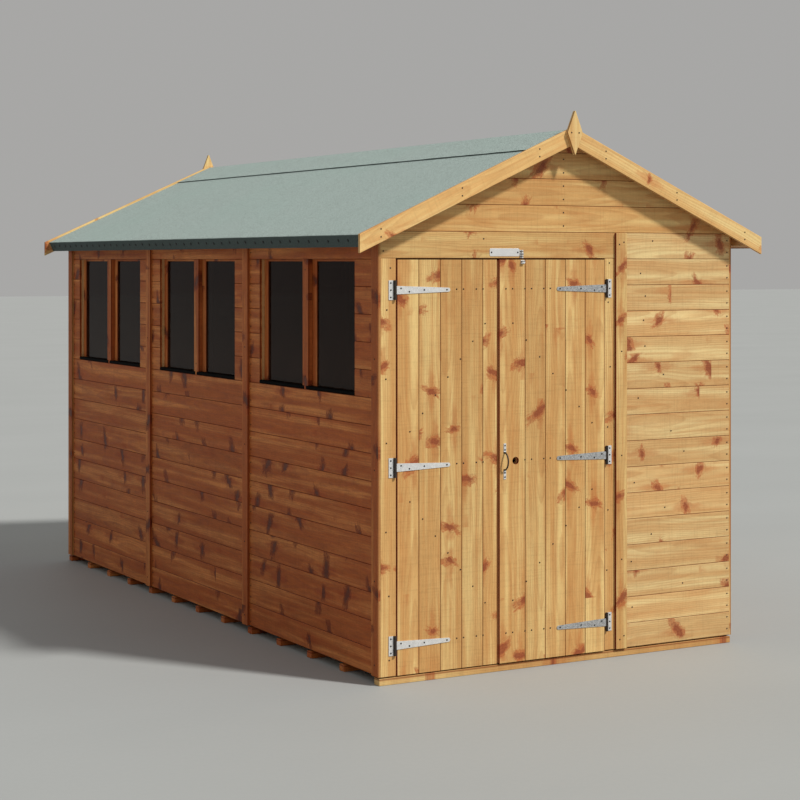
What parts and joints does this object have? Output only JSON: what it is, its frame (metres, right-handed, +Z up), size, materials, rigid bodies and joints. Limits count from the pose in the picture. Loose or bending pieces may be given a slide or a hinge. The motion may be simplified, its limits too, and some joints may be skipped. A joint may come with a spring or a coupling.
{
  "type": "wooden garden shed",
  "caption": "Long timber garden shed with a felted apex roof, boarded double doors on strap hinges in one gable end and a row of side windows.",
  "frame": {"origin": "middle of the footprint, on the level of the floor bearers' undersides", "axes": "+Z up; -Y out of the door end; +Y along the ridge to the rear; +X to the right seen from the doors"},
  "size_m": [2.054, 3.875, 2.3544],
  "materials": {
    "front_timber": "honey coloured dip treated softwood with red brown knots",
    "side_timber": "red brown dip treated softwood",
    "trim_timber": "pale planed softwood trim",
    "inner_timber": "sawn softwood framing",
    "roof_timber": "roof and floor boards",
    "slope_felt": "grey green mineral roofing felt",
    "eave_felt": "dark green mineral roofing felt",
    "window_bead": "black bead",
    "glass": "clear pane over a dark room",
    "zinc": "bright zinc plate",
    "dark_metal": "dark plated steel",
    "plate_metal": "plain satin plate"
  },
  "bodies": {
    "shed": {"floor_bearers": "side_timber", "floor_boards": "roof_timber", "front_door_jambs": "front_timber", "front_door_header": "front_timber", "front_panel": "front_timber", "front_gable": "front_timber", "rear_wall": "front_timber", "rear_gable": "front_timber", "left_wall_lower": "side_timber", "left_wall_upper": "side_timber", "left_wall_piers": "side_timber", "right_wall": "side_timber", "cover_strips": "trim_timber", "corner_trims": "side_timber", "window_stiles": "side_timber", "window_rails": "side_timber", "window_mullions": "side_timber", "window_beads": "window_bead", "window_glass": "glass", "wall_studs": "inner_timber", "side_wall_rails": "inner_timber", "end_wall_rails": "inner_timber", "roof_boards": "roof_timber", "roof_felt": "slope_felt", "ridge_cap": "slope_felt", "eave_felt": "eave_felt", "eave_rails": "inner_timber", "roof_purlins": "inner_timber", "front_barge_boards": "trim_timber", "rear_barge_boards": "trim_timber", "front_finial": "trim_timber", "rear_finial": "trim_timber", "name_plate": "plate_metal", "hinge_plates": "zinc", "top_bolt": "zinc"},
    "left_door": {"left_door_boards": "front_timber", "left_door_ledges": "inner_timber", "left_door_braces": "inner_timber", "left_hinge_straps": "zinc"},
    "right_door": {"right_door_boards": "front_timber", "right_door_ledges": "inner_timber", "right_door_braces": "inner_timber", "right_hinge_straps": "zinc", "door_handle": "dark_metal", "bolt_keep": "zinc"}
  },
  "joints": [
    {"name": "left_door_hinge", "type": "hinge", "parent": "shed", "child": "left_door", "pos_m": [-0.8305, -1.8605, 0.879], "axis": [0, 0, -1], "range_deg": [0, 150]},
    {"name": "right_door_hinge", "type": "hinge", "parent": "shed", "child": "right_door", "pos_m": [0.2175, -1.8615, 0.879], "axis": [0, 0, 1], "range_deg": [0, 150]}
  ]
}
